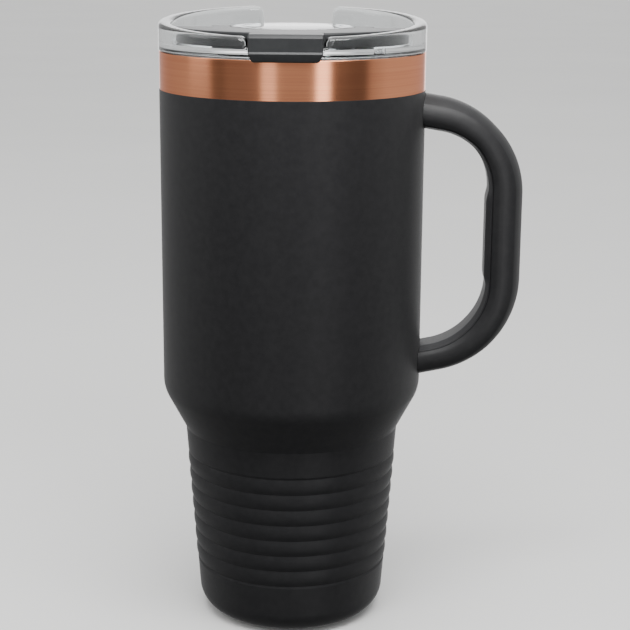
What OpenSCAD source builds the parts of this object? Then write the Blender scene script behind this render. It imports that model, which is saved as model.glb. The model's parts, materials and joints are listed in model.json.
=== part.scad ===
// Insulated travel mug: double-walled steel cup with a ribbed foot, a plated
// rim band, a bolted-on side handle and a clear press-in lid with a flip flap.
// The mug stands on z = 0 with its axis on Z, the handle on +X and the
// drinking side of the lid on -Y.

/* [Cup] */
// Outer radius of the straight upper body
body_r = 50.4; // [48:0.1:53]
// Height of the steel rim above the table
rim_z = 222.7; // [215:0.1:240]
// Height of the bare plated band below the rim
band_h = 14.2; // [8:0.1:20]
// Height where the straight body meets the rounded shoulder
shoulder_z = 96; // [90:0.5:110]
// Radius of the shoulder's round edge
shoulder_r = 14; // [8:0.5:20]
// Angle of the shoulder cone from the vertical
shoulder_angle = 28; // [20:0.5:35]
// Height of the sharp waist between shoulder and foot
waist_z = 76.5; // [70:0.5:80]
// Outer radius of the tapered foot at the waist
waist_r = 41.9; // [38:0.1:44]
// Outer radius of the tapered foot where it meets the base corner
foot_r = 36.9; // [34:0.1:40]
// Radius of the rounded base corner
base_corner_r = 10; // [6:0.5:11]
// Thickness of the outer steel wall
outer_wall_t = 0.7; // [0.5:0.1:1.2]
// Thickness of the inner steel wall
inner_wall_t = 0.5; // [0.5:0.1:1]
// Vacuum gap between the two walls of the upper body
vacuum_gap = 2.9; // [2:0.1:3]

/* [Foot ribs] */
// Number of grip ribs round the foot
rib_count = 7; // [3:1:8]
// Distance from one rib to the next
rib_pitch = 6.35; // [5:0.05:6.5]
// Height of the middle of the lowest rib
rib_first_z = 24.4; // [22:0.1:26]
// Height of a rib's crown above its grooves
rib_h = 0.62; // [0.3:0.01:1]
// Depth of the grooves below the foot's taper
rib_groove = 0.4; // [0.1:0.01:0.5]

/* [Handle] */
// Distance of the grip's centre line from the mug's axis
grip_x = 81.7; // [78:0.1:90]
// Width of the handle across the hand's fingers
handle_w = 23; // [18:0.5:26]
// Height of the upper arm's centre line at the body
upper_arm_z = 200.4; // [195:0.1:203]
// Height of the lower arm's centre line at the body
lower_arm_z = 103.7; // [102:0.1:110]
// Slope of the upper arm, falling away from the body
upper_slope = 9.4; // [5:0.1:15]
// Slope of the lower arm, rising away from the body
lower_slope = 12; // [8:0.1:18]
// Bend radius of the upper corner's centre line
upper_bend_r = 30; // [24:0.5:30]
// Bend radius of the lower corner's centre line
lower_bend_r = 32; // [26:0.5:32]
// Thickness of the handle at its ends
arm_t = 12.2; // [12:0.1:14]
// Thickness of the handle at the grip
grip_t = 13.4; // [13:0.1:16]

/* [Lid] */
// Outer radius of the clear rim wall
lid_r = 50.45; // [48:0.05:53]
// Thickness of the clear rim wall
lid_wall_t = 5.05; // [4:0.05:6]
// Height of the rim wall's top at the drinking side
lid_front_z = 230.5; // [229:0.1:232]
// Height of the rim wall's top at the back
lid_back_z = 237.3; // [236:0.1:240]
// Height of the top face of the deck inside the rim
deck_z = 226; // [225:0.1:227]
// Width of the gap that the flap's tab passes through
gap_w = 27.6; // [27:0.1:30]
// Extra width of the back gap at its top
gap_flare = 2; // [0:0.1:4]
// Depth that the lid's plug reaches into the cup below the rim
plug_depth = 14.2; // [12:0.1:16]
// Outer radius of the raised hub in the middle of the deck
hub_r = 22.5; // [18:0.1:24]

/* [Flap] */
// Height of the flap's flat top
flap_top_z = 231.7; // [231:0.1:233]
// Thickness of the flap's plate
flap_t = 3.5; // [3:0.1:3.6]
// Radius of the flap's round front edge
flap_r = 43.8; // [42:0.1:44]
// Width of the flap's front tab
tab_w = 26.2; // [22:0.1:26.4]
// Height of the hinge pins' axis
hinge_z = 229.5; // [229.4:0.1:230]
// Radius of the hinge pins
pin_r = 1.25; // [1:0.05:1.3]

/* [Hidden] */

$fn = 128;

coat_color = [0.16, 0.16, 0.17];
copper_color = [0.72, 0.47, 0.36];
steel_color = [0.72, 0.73, 0.74];
brass_color = [0.78, 0.63, 0.32];
handle_color = [0.13, 0.13, 0.14];
clear_color = [0.85, 0.88, 0.9, 0.45];
seal_color = [0.8, 0.8, 0.8];
flap_color = [0.27, 0.27, 0.28];

arc_steps = 8;
fit = 0.1;         // gap that parts leave where they only sit side by side
far = 80;          // longer than any cut needs

// The cup's walls
band_z = rim_z - band_h;
coat_t = 0.1;
band_r = body_r - coat_t;
foot_taper = (waist_r - foot_r) / (waist_z - base_corner_r);
foot_tilt = atan(foot_taper);
corner_x = foot_r - base_corner_r / cos(foot_tilt);
base_ring_r = corner_x - 2;
rib_steps = 6;
rib_z0 = rib_first_z - rib_pitch / 2;
rib_run_out = 0.9;
foot_wall_inset = 1.4;
liner_r = body_r - outer_wall_t - vacuum_gap;
liner_foot_inset = 4;
liner_base_z = 6;
liner_corner_r = 9;
mouth_r = liner_r - inner_wall_t;
flare_z = rim_z - 7.2;
flare_top_z = rim_z - 2.6;

// The base
base_plate_t = 1;
cover_t = outer_wall_t;
seal_hole_r = 0.8;
seal_dimple_r = 4;
seal_dimple_h = 0.5;
getter_r = 6;
getter_h = 2.2;
getter_x = 17;

// The handle's channel section
web_t = 2.6;
cover_strip_t = 2.4;
channel_w = 15;
channel_lip = 1.2;
corner_t = 0.8;
path_steps = 14;
bracket_w = 12;
tongue_t = 1.6;
tongue_len = 11;
pad_h = 6;
pad_t = 1.4;
screw_x = 56;
screw_r = 2;
insert_r = 3.1;
insert_h = 3.8;
head_r = 3.6;
head_h = 1.2;

// The lid
lid_in_r = lid_r - lid_wall_t;
seat_gap = 0.2;
lid_base_z = rim_z + seat_gap;
deck_t = 2;
plug_r = mouth_r - 0.7;
plug_t = 2.6;
plug_base_z = rim_z - plug_depth;
groove_z = plug_base_z + 1.6;
groove_h = 3.4;
groove_d = 1;
gasket_gap = 0.3;
hub_wall = 2;
hub_cap_t = 0.9;
hinge_block = [6, 6.4];
pin_in_x = hub_r - 5;
pin_out_x = 29;
pin_fit = 0.05;
spout_y = -34;
spout_w = 24;
spout_d = 9;
vent_x = 27;
vent_y = -17;
vent_r = 2;

// The flap
hub_clear = 0.4;
skirt_t = 1.6;
skirt_base_z = deck_z + 0.4;
arm_in_x = hub_r + 0.6;
arm_out_x = 30.5;
flap_back_y = -7;
knuckle_r = flap_top_z - hinge_z;
flap_base_z = flap_top_z - flap_t;
tab_back_y = -42.5;
tab_face_y = -52.6;
lip_t = 1.8;
lip_base_z = 222;
lip_ridge_z = 225.3;
lip_taper = 1.7;
plug_gap = 0.9;

// Points along an arc in the radius-height plane
function arc(cx, cz, r, from, to, steps = arc_steps) =
    [for (i = [0 : steps]) let (a = from + (to - from) * i / steps) [cx + r * cos(a), cz + r * sin(a)]];

// Radius of the foot's plain taper at a height
function foot_at(z) = foot_r + (z - base_corner_r) * foot_taper;

// One rib: a crown that rises from one groove and falls to the next
function rib(z0) =
    [for (k = [0 : rib_steps - 1]) let (u = k / rib_steps)
        [foot_at(z0 + u * rib_pitch) - rib_groove + rib_h * 4 * u * (1 - u), z0 + u * rib_pitch]];

rib_z1 = rib_z0 + rib_count * rib_pitch;

// Outside of the outer wall, from the base ring up to the band
outer_side = concat(
    [[base_ring_r, 0]],
    arc(corner_x, base_corner_r, base_corner_r, -90, -foot_tilt),
    [[foot_at(rib_z0 - rib_run_out), rib_z0 - rib_run_out]],
    [for (n = [0 : rib_count - 1]) each rib(rib_z0 + n * rib_pitch)],
    [[foot_at(rib_z1) - rib_groove, rib_z1], [foot_at(rib_z1 + rib_run_out), rib_z1 + rib_run_out]],
    [[waist_r, waist_z]],
    arc(body_r - shoulder_r, shoulder_z, shoulder_r, -shoulder_angle, 0),
    [[body_r, band_z]]
);

// Inside of the outer wall, from the band down to the base ring
inner_side = concat(
    [[body_r - outer_wall_t, band_z]],
    arc(body_r - shoulder_r, shoulder_z, shoulder_r - outer_wall_t, 0, -shoulder_angle),
    [[waist_r - foot_wall_inset, waist_z + outer_wall_t / 2]],
    arc(corner_x, base_corner_r, base_corner_r - outer_wall_t, -foot_tilt, -90),
    [[base_ring_r, outer_wall_t]]
);

module ring_of(profile) {
    rotate_extrude() polygon(profile);
}

// A plain ring from its radii, base height and height
module ring(outer, inner, base, height) {
    translate([0, 0, base]) difference() {
        cylinder(r = outer, h = height);
        translate([0, 0, -1]) cylinder(r = inner, h = height + 2);
    }
}

module outer_wall() {
    color(coat_color) ring_of(concat(outer_side, inner_side));
}

module rim_band() {
    color(copper_color) ring(band_r, body_r - outer_wall_t, band_z, band_h);
}

// The liner: flared mouth, straight barrel, shoulder and tapered well
module inner_wall() {
    well_x = foot_at(liner_base_z + liner_corner_r) - liner_foot_inset - liner_corner_r;
    neck = [waist_r - liner_foot_inset, waist_z + 0.5];
    bend_r = 12;
    bend_z = shoulder_z + 1.5;
    lip_r = body_r - outer_wall_t - fit;
    outside = concat(
        [[0, liner_base_z]],
        arc(well_x, liner_base_z + liner_corner_r, liner_corner_r, -90, -foot_tilt),
        [neck],
        arc(liner_r - bend_r, bend_z, bend_r, -shoulder_angle, 0),
        [[liner_r, flare_z], [lip_r, flare_top_z], [lip_r, rim_z]]
    );
    inside = concat(
        [[lip_r - inner_wall_t, rim_z], [lip_r - inner_wall_t, flare_top_z + 0.3], [mouth_r, flare_z + 0.3]],
        arc(liner_r - bend_r, bend_z, bend_r - inner_wall_t, 0, -shoulder_angle),
        [neck + [-inner_wall_t, 0.4]],
        arc(well_x, liner_base_z + liner_corner_r, liner_corner_r - inner_wall_t, -foot_tilt, -90),
        [[0, liner_base_z + inner_wall_t]]
    );
    color(steel_color) ring_of(concat(outside, inside));
}

// Structural base, welded on top of the wall's base ring, with the seal's dimple below
module base_plate() {
    color(steel_color) translate([0, 0, outer_wall_t]) difference() {
        cylinder(r = corner_x, h = base_plate_t);
        translate([0, 0, -1]) cylinder(r = seal_hole_r, h = base_plate_t + 2);
        translate([0, 0, -1]) cylinder(r = seal_dimple_r, h = seal_dimple_h + 1);
    }
}

module bottom_cover() {
    color(steel_color) cylinder(r = base_ring_r - fit, h = cover_t);
}

// Glass bead that closes the pumping hole
module vacuum_seal() {
    color(seal_color) translate([0, 0, outer_wall_t]) union() {
        cylinder(r = seal_dimple_r - fit, h = seal_dimple_h);
        cylinder(r = seal_hole_r - fit / 2, h = base_plate_t);
    }
}

module getter() {
    floor_z = outer_wall_t + base_plate_t;
    color(steel_color) translate([getter_x, 0, floor_z]) cylinder(r = getter_r, h = getter_h);
}

// Spot-welded cup that holds the getter pill
module getter_clip() {
    floor_z = outer_wall_t + base_plate_t;
    color(steel_color) translate([getter_x, 0, 0]) ring(getter_r + 0.7, getter_r + fit / 2, floor_z, getter_h);
}

// The handle's centre line, as [x, z] points with the direction of travel at each
upper_corner = [grip_x, upper_arm_z - (grip_x - body_r) * tan(upper_slope)];
lower_corner = [grip_x, lower_arm_z + (grip_x - body_r) * tan(lower_slope)];
upper_reach = upper_bend_r * tan((90 - upper_slope) / 2);
lower_reach = lower_bend_r * tan((90 - lower_slope) / 2);
upper_c = [grip_x - upper_bend_r, upper_corner[1] - upper_reach];
lower_c = [grip_x - lower_bend_r, lower_corner[1] + lower_reach];
handle_start_in = 4;
handle_start_x = body_r - handle_start_in;

// Each station is [x, z, heading]; heading 0 points along +X and -90 points down
stations = concat(
    [[handle_start_x, upper_arm_z + handle_start_in * tan(upper_slope), -upper_slope]],
    [for (i = [0 : path_steps]) let (h = -upper_slope - (90 - upper_slope) * i / path_steps)
        [upper_c[0] + upper_bend_r * cos(h + 90), upper_c[1] + upper_bend_r * sin(h + 90), h]],
    [for (i = [1 : 5]) [grip_x, upper_c[1] + (lower_c[1] - upper_c[1]) * i / 6, -90]],
    [for (i = [0 : path_steps]) let (h = -90 - (90 - lower_slope) * i / path_steps)
        [lower_c[0] + lower_bend_r * cos(h + 90), lower_c[1] + lower_bend_r * sin(h + 90), h]],
    [[handle_start_x, lower_arm_z - handle_start_in * tan(lower_slope), -180 + lower_slope]]
);

// How far a station is into the grip: 0 at the arms, 1 where the handle is upright
function grip_share(s) = pow(sin(-s[2]), 2);

// Half the handle's thickness at a station, thinner round the upper corner
function half_t(s) =
    (arm_t + (grip_t - arm_t) * grip_share(s)) / 2
    - (s[2] > -90 ? corner_t * pow(sin(-2 * s[2]), 2) : 0);

// A section point [out, across] placed at a station; out is away from the mug
function place(s, p) =
    let (h = s[2] + 90) [s[0] + p[0] * cos(h), p[1], s[1] + p[0] * sin(h)];

// Closed solid through the same number of section points at every station, cut to the mug's round wall
module sweep(sections) {
    m = len(sections[0]);
    n = len(sections);
    points = [for (i = [0 : n - 1]) each [for (p = sections[i]) place(stations[i], p)]];
    sides = [for (i = [0 : n - 2]) each [for (k = [0 : m - 1]) let (j = (k + 1) % m)
        each [[i * m + k, i * m + j, (i + 1) * m + j], [i * m + k, (i + 1) * m + j, (i + 1) * m + k]]]];
    start = [[for (k = [m - 1 : -1 : 0]) k]];
    finish = [[for (k = [0 : m - 1]) (n - 1) * m + k]];
    difference() {
        polyhedron(points = points, faces = concat(sides, start, finish), convexity = 6);
        translate([0, 0, lower_arm_z - far / 2]) cylinder(r = body_r + fit, h = upper_arm_z - lower_arm_z + far);
    }
}

// Half of a channel section's outline, from the crown to the lip's inner edge
function channel_half(t) =
    let (w = handle_w / 2, c = channel_w / 2)
    concat(
        [for (a = [0 : 15 : 75]) [t * cos(a), w * sin(a)]],
        [[0, w], [-0.55 * t, 0.94 * w], [-t + 0.6, c + channel_lip + 0.9], [-t, c + 0.3]],
        [[-t + cover_strip_t, c], [t - web_t - 1, c], [t - web_t, c - 2]]
    );

function channel(t) =
    let (half = channel_half(t), m = len(half))
    concat(half, [for (k = [m - 1 : -1 : 1]) [half[k][0], -half[k][1]]]);

// The strip that closes the channel, a little crowned towards the fingers
function strip(t) =
    let (c = channel_w / 2 - fit)
    [[-t + cover_strip_t, c], [-t + 0.2, c], [-t - 0.4, c / 2], [-t - 0.5, 0],
     [-t - 0.4, -c / 2], [-t + 0.2, -c], [-t + cover_strip_t, -c]];

module handle_shell() {
    color(handle_color) sweep([for (s = stations) channel(half_t(s))]);
}

module handle_inner_cover() {
    color(handle_color) sweep([for (s = stations) strip(half_t(s))]);
}

// Places children on an arm's own axes: x runs along the arm, z points out of the grip
module on_arm(upper) {
    if (upper)
        translate([body_r, 0, upper_arm_z]) rotate([0, upper_slope, 0]) children();
    else
        translate([body_r, 0, lower_arm_z]) rotate([0, -lower_slope, 0]) mirror([0, 0, 1]) children();
}

screw_run = screw_x - body_r;
web_in_z = arm_t / 2 - web_t - 0.3;
tongue_z = web_in_z - insert_h - tongue_t;

// Welded pad on the wall with a tongue that reaches into the channel
module bracket(upper) {
    color(steel_color) difference() {
        union() {
            on_arm(upper) translate([-1.5, -bracket_w / 2, tongue_z]) cube([tongue_len + 1.5, bracket_w, tongue_t]);
            on_arm(upper) translate([-1.5, -bracket_w / 2, -pad_h / 2]) cube([1.5 + pad_t, bracket_w, pad_h]);
        }
        translate([0, 0, lower_arm_z - far / 2]) cylinder(r = body_r, h = upper_arm_z - lower_arm_z + far);
        on_arm(upper) translate([screw_run, 0, tongue_z - 1]) cylinder(r = screw_r + fit, h = tongue_t + 2);
    }
}

module upper_bracket() {
    bracket(true);
}

module lower_bracket() {
    bracket(false);
}

// Brass inserts moulded into the shell, one in each arm
module handle_inserts() {
    color(brass_color) for (upper = [true, false]) on_arm(upper)
        translate([screw_run, 0, 0]) ring(insert_r, screw_r + 0.02, tongue_z + tongue_t, insert_h);
}

// Screws driven from the finger side through the tongues into the inserts
module handle_screws() {
    color(steel_color) for (upper = [true, false]) on_arm(upper)
        translate([screw_run, 0, tongue_z]) union() {
            cylinder(r = screw_r, h = tongue_t + insert_h - 0.4);
            translate([0, 0, -head_h]) cylinder(r = head_r, h = head_h);
        }
}

// Everything above the sloping plane of the lid's rim
module above_rim_plane() {
    tilt = atan((lid_back_z - lid_front_z) / (2 * lid_r));
    translate([0, 0, (lid_front_z + lid_back_z) / 2]) rotate([tilt, 0, 0])
        translate([-far, -far, 0]) cube([2 * far, 2 * far, far]);
}

module lid_wall() {
    difference() {
        ring(lid_r, lid_in_r, lid_base_z, lid_back_z - lid_base_z + 1);
        above_rim_plane();
        translate([-gap_w / 2, -far, deck_z]) cube([gap_w, far - lid_in_r / 2, far]);
        translate([0, far, deck_z]) rotate([90, 0, 0]) linear_extrude(far - lid_in_r / 2)
            polygon([[-gap_w / 2, 0], [gap_w / 2, 0], [(gap_w + gap_flare) / 2, lid_back_z - deck_z],
                [(gap_w + gap_flare) / 2, far], [-(gap_w + gap_flare) / 2, far],
                [-(gap_w + gap_flare) / 2, lid_back_z - deck_z]]);
    }
}

// A slot with round ends, centred on x
module slot(width, depth, base, height) {
    run = (width - depth) / 2;
    translate([0, 0, base]) union() {
        for (side = [-run, run]) translate([side, 0, 0]) cylinder(r = depth / 2, h = height);
        translate([-run, -depth / 2, 0]) cube([2 * run, depth, height]);
    }
}

module lid_body() {
    hub_top_z = flap_top_z - hub_cap_t;
    color(clear_color) difference() {
        union() {
            lid_wall();
            translate([0, 0, deck_z - deck_t]) cylinder(r = lid_in_r + 1, h = deck_t);
            ring(plug_r, plug_r - plug_t, plug_base_z, deck_z - plug_base_z);
            ring(lid_in_r + 1, plug_r - plug_t, lid_base_z, deck_z - lid_base_z);
            ring(hub_r, hub_r - hub_wall, deck_z, hub_top_z - deck_z);
            for (side = [-1, 1]) translate([side * (hub_r - hinge_block[0] / 2 - 0.3), 0, 0])
                translate([-hinge_block[0] / 2, -hinge_block[1] / 2, deck_z])
                    cube([hinge_block[0], hinge_block[1], hub_top_z - deck_z]);
        }
        ring(plug_r + 1, plug_r - groove_d, groove_z, groove_h);
        translate([0, spout_y, 0]) slot(spout_w, spout_d, deck_z - deck_t - 1, deck_t + 2);
        translate([vent_x, vent_y, deck_z - deck_t - 1]) cylinder(r = vent_r, h = deck_t + 2);
        translate([-hub_r - 1, 0, hinge_z]) rotate([0, 90, 0]) cylinder(r = pin_r + 0.01, h = 6);
        translate([hub_r - 5, 0, hinge_z]) rotate([0, 90, 0]) cylinder(r = pin_r + 0.01, h = 6);
    }
}

// Silicone ring with two soft lips
module lid_gasket() {
    tip = mouth_r - gasket_gap;
    root = plug_r - groove_d;
    body = root + 1.1;
    color(seal_color) ring_of([
        [root, groove_z], [tip, groove_z + 0.2], [tip, groove_z + 0.7], [body, groove_z + 1.3],
        [body, groove_z + 1.9], [tip, groove_z + 2.4], [tip, groove_z + 2.9], [root, groove_z + groove_h]
    ]);
}

module hub_cap() {
    color(clear_color) translate([0, 0, flap_top_z - hub_cap_t]) cylinder(r = hub_r, h = hub_cap_t);
}

module hinge_pins() {
    color(steel_color) for (side = [-1, 1])
        translate([side * (pin_in_x + pin_out_x) / 2, 0, hinge_z]) rotate([0, 90, 0])
            cylinder(r = pin_r, h = pin_out_x - pin_in_x, center = true);
}

// Front tab: a slab through the lid's gap with a lip that hooks over the rim
module tab() {
    half = tab_w / 2;
    difference() {
        rotate([90, 0, 90]) translate([0, 0, -half]) linear_extrude(tab_w)
            polygon([
                [tab_back_y, flap_base_z], [tab_face_y + lip_t, flap_base_z], [tab_face_y + lip_t, lip_base_z],
                [tab_face_y + 0.8, lip_base_z], [tab_face_y, lip_ridge_z], [tab_face_y + 0.3, flap_top_z - 1.2],
                [tab_face_y + 1, flap_top_z], [tab_back_y, flap_top_z]
            ]);
        for (side = [0, 1]) mirror([side, 0, 0])
            translate([0, tab_face_y + lip_t + 1, 0]) rotate([90, 0, 0]) linear_extrude(lip_t + 2)
                polygon([[half, lip_ridge_z], [half + 1, lip_ridge_z], [half + 1, lip_base_z - 1],
                    [half - lip_taper, lip_base_z - 1], [half - lip_taper, lip_base_z]]);
    }
}

module flap() {
    color(flap_color) difference() {
        union() {
            intersection() {
                union() {
                    translate([0, 0, flap_base_z]) cylinder(r = flap_r, h = flap_t);
                    ring(flap_r, flap_r - skirt_t, skirt_base_z, flap_base_z - skirt_base_z + 1);
                }
                translate([-far, -far, 0]) cube([2 * far, far + flap_back_y, 2 * rim_z]);
            }
            tab();
            for (side = [-1, 1]) translate([side * (arm_in_x + arm_out_x) / 2, 0, 0]) {
                translate([-(arm_out_x - arm_in_x) / 2, flap_back_y - 1, flap_base_z])
                    cube([arm_out_x - arm_in_x, 1 - flap_back_y, flap_t]);
                translate([0, 0, hinge_z]) rotate([0, 90, 0])
                    cylinder(r = knuckle_r, h = arm_out_x - arm_in_x, center = true);
            }
        }
        translate([0, 0, flap_base_z - 5]) cylinder(r = hub_r + hub_clear, h = 5 + flap_t + 1);
        for (side = [-1, 1]) translate([side * (arm_in_x + pin_out_x + 0.5) / 2, 0, hinge_z]) rotate([0, 90, 0])
            cylinder(r = pin_r + pin_fit, h = pin_out_x + 0.5 - arm_in_x + 0.02, center = true);
    }
}

// Silicone plug under the flap that closes the drinking hole
module spout_seal() {
    color(seal_color) translate([0, spout_y, 0]) union() {
        slot(spout_w + 3, spout_d + 3, deck_z + 0.3, flap_base_z - deck_z - 0.3);
        slot(spout_w - 2 * plug_gap, spout_d - 2 * plug_gap, deck_z - deck_t + 0.5, flap_base_z - deck_z + deck_t - 0.5);
    }
}

module vent_plug() {
    color(seal_color) translate([vent_x, vent_y, 0]) union() {
        translate([0, 0, deck_z + 0.3]) cylinder(r = vent_r + 1, h = flap_base_z - deck_z - 0.3);
        translate([0, 0, deck_z - 1]) cylinder(r = vent_r - 0.4, h = flap_base_z - deck_z + 1);
    }
}

outer_wall();
rim_band();
inner_wall();
base_plate();
bottom_cover();
vacuum_seal();
getter();
getter_clip();
handle_shell();
handle_inner_cover();
upper_bracket();
lower_bracket();
handle_inserts();
handle_screws();
lid_body();
lid_gasket();
hub_cap();
hinge_pins();
flap();
spout_seal();
vent_plug();
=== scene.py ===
"""Looks of an insulated travel mug with a side handle and a clear flip lid.

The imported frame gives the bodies, the places and the joints.  Each piece is a
surface worked out with numpy, in millimetres, and becomes a mesh in metres
that rides on its body.
"""

import json
import logging
import math
from dataclasses import dataclass, field
from enum import Enum

import bmesh
import bpy
import numpy as np
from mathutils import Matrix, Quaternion, Vector


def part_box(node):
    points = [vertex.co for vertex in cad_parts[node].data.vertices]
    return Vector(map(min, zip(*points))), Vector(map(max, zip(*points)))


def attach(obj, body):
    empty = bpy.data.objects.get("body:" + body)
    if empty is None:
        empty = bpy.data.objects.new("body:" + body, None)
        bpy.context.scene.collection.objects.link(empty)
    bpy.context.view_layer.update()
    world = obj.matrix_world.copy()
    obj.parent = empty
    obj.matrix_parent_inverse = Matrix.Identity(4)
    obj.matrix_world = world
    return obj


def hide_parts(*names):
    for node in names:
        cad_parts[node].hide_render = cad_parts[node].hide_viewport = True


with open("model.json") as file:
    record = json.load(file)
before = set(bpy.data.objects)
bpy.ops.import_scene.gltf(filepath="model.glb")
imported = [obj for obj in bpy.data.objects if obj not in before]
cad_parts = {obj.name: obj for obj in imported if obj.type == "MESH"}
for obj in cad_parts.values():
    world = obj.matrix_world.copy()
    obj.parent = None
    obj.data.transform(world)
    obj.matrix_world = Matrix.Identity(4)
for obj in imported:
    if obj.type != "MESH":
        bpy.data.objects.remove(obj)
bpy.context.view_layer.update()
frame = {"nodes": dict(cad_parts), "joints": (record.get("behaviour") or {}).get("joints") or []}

MM = 0.001
LOG = logging.getLogger("travel_mug")
Array = np.ndarray
Socket = bpy.types.NodeSocket


class Body(Enum):
    """The rigid bodies of the frame."""

    MUG = "mug"
    LID = "lid"
    FLAP = "flap"


class Join(Enum):
    """How a second shape changes a piece."""

    ADD = "UNION"
    CUT = "DIFFERENCE"


# --------------------------------------------------------------------------
# Curves and surfaces
# --------------------------------------------------------------------------


def unit(v: Array) -> Array:
    """Scales each row vector to length one."""
    return v / np.maximum(np.linalg.norm(v, axis=-1, keepdims=True), 1e-12)


def fillet_path(points: list, radii: list, closed: bool = False, step: float = 7.0, steps: int = 0) -> Array:
    """Rounds the corners of a polyline with tangent arcs.

    A corner of half angle h and radius r gives up r / tan(h) of each side,
    and its arc is centred r / sin(h) along the bisector.  Two corners share
    the side between them in proportion to their radii.

    Args:
        points: corner points (a, b) in order.
        radii: one radius for each corner, 0 for a sharp one.
        closed: whether the last point joins the first.
        step: largest turn in degrees between two points of an arc.
        steps: same number of steps for every arc, where the count must not vary.

    Returns:
        The points of the rounded polyline.
    """
    p = np.asarray(points, float)
    n = len(p)
    out = []
    for i in range(n):
        end = not closed and i in (0, n - 1)
        if end or radii[i] <= 0:
            out.append(p[i][None])
            continue
        back, ahead = p[i - 1] - p[i], p[(i + 1) % n] - p[i]
        d1, d2 = unit(back), unit(ahead)
        half = 0.5 * math.acos(float(np.clip(d1 @ d2, -1, 1)))
        if half > math.radians(89.9) and not steps:
            out.append(p[i][None])
            continue
        share = [radii[i] / (radii[i] + other) for other in (radii[i - 1], radii[(i + 1) % n])]
        room = 0.999 * min(np.linalg.norm(back) * share[0], np.linalg.norm(ahead) * share[1])
        r = min(radii[i], room * math.tan(half))
        centre = p[i] + unit(d1 + d2) * r / math.sin(half)
        a = p[i] + d1 * r / math.tan(half) - centre
        b = p[i] + d2 * r / math.tan(half) - centre
        turn = math.pi - 2 * half
        sign = math.copysign(1.0, a[0] * b[1] - a[1] * b[0])
        k = steps or max(2, int(math.ceil(math.degrees(turn) / step)))
        t = sign * turn * np.linspace(0, 1, k + 1)
        arc = np.stack([a[0] * np.cos(t) - a[1] * np.sin(t), a[0] * np.sin(t) + a[1] * np.cos(t)], 1)
        out.append(centre + arc)
    return np.concatenate(out)


def distance_run(path: Array) -> Array:
    """Distance along a polyline from its start to each of its points.

    Args:
        path: points in order.

    Returns:
        One distance for each point.
    """
    return np.concatenate([[0], np.cumsum(np.linalg.norm(np.diff(path, axis=0), axis=1))])


def offset_normals(path: Array, closed: bool) -> Array:
    """Unit normals of a plane curve, to the left of its direction of travel.

    Args:
        path: (a, b) points in order.
        closed: whether the last point joins the first.

    Returns:
        One unit normal for each point.
    """
    if closed:
        t = np.roll(path, -1, 0) - np.roll(path, 1, 0)
    else:
        t = np.gradient(path, axis=0)
    t = unit(t)
    return np.stack([-t[:, 1], t[:, 0]], 1)


@dataclass
class Surface:
    """A polygon surface in millimetres.

    Attributes:
        verts: the points, one row each.
        quads: corner numbers of the four-sided faces; a repeated number makes a triangle.
        caps: rings of corner numbers that close open ends as single faces.
    """

    verts: Array
    quads: Array
    caps: list = field(default_factory=list)

    @staticmethod
    def grid(points: Array, wrap_u: bool, wrap_v: bool) -> "Surface":
        """Joins a (rows, columns, 3) array of points into quads.

        Args:
            points: the grid; u runs over rows and v over columns.
            wrap_u: whether the last row joins the first.
            wrap_v: whether the last column joins the first.

        Returns:
            The surface.
        """
        rows, cols = points.shape[:2]
        number = np.arange(rows * cols).reshape(rows, cols)
        u1 = np.roll(number, -1, 0) if wrap_u else number[1:]
        base = number if wrap_u else number[:-1]
        if wrap_v:
            a, b = base, np.roll(base, -1, 1)
            d, c = u1, np.roll(u1, -1, 1)
        else:
            a, b, d, c = base[:, :-1], base[:, 1:], u1[:, :-1], u1[:, 1:]
        return Surface(points.reshape(-1, 3), np.stack([a, b, c, d], -1).reshape(-1, 4))

    def joined(self, other: "Surface") -> "Surface":
        """This surface and another in one, not welded.

        Args:
            other: the other surface.

        Returns:
            Both shapes as one surface.
        """
        k = len(self.verts)
        caps = self.caps + [(np.asarray(ring) + k).tolist() for ring in other.caps]
        verts = np.concatenate([self.verts, other.verts])
        return Surface(verts, np.concatenate([self.quads, other.quads + k]), caps)

    def faces(self) -> list:
        """Welds points closer than a ten-thousandth of a millimetre and returns clean faces.

        Returns:
            Corner numbers of each face.
        """
        keys = np.round(self.verts, 4)
        _, first, back = np.unique(keys, axis=0, return_index=True, return_inverse=True)
        back = back.reshape(-1)
        self.verts = self.verts[first]
        q = back[self.quads]
        same = q == np.roll(q, -1, 1)
        count = same.sum(1)
        quads = q[count == 0]
        tri_rows, tri_same = q[count == 1], same[count == 1]
        keep = ~tri_same
        tris = tri_rows[keep].reshape(-1, 3)
        ok = (tris[:, 0] != tris[:, 1]) & (tris[:, 1] != tris[:, 2]) & (tris[:, 0] != tris[:, 2])
        rings = [list(dict.fromkeys(back[np.asarray(ring)].tolist())) for ring in self.caps]
        return quads.tolist() + tris[ok].tolist() + rings


def revolve(profile: Array, segments: int = 192, closed: bool = False) -> Surface:
    """Turns a profile round the Z axis.

    A point (r, z) becomes (r cos a, r sin a, z) for evenly spaced angles a.

    Args:
        profile: (r, z) points; an open one starts and ends on the axis.
        segments: number of steps round the axis.
        closed: whether the profile is a loop clear of the axis.

    Returns:
        The surface, closed.
    """
    a = np.linspace(0, 2 * np.pi, segments, endpoint=False)
    r, z = profile[:, 0][:, None], profile[:, 1][:, None]
    pts = np.stack([r * np.cos(a), r * np.sin(a), z + 0 * a], -1)
    return Surface.grid(pts, closed, True)


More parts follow.
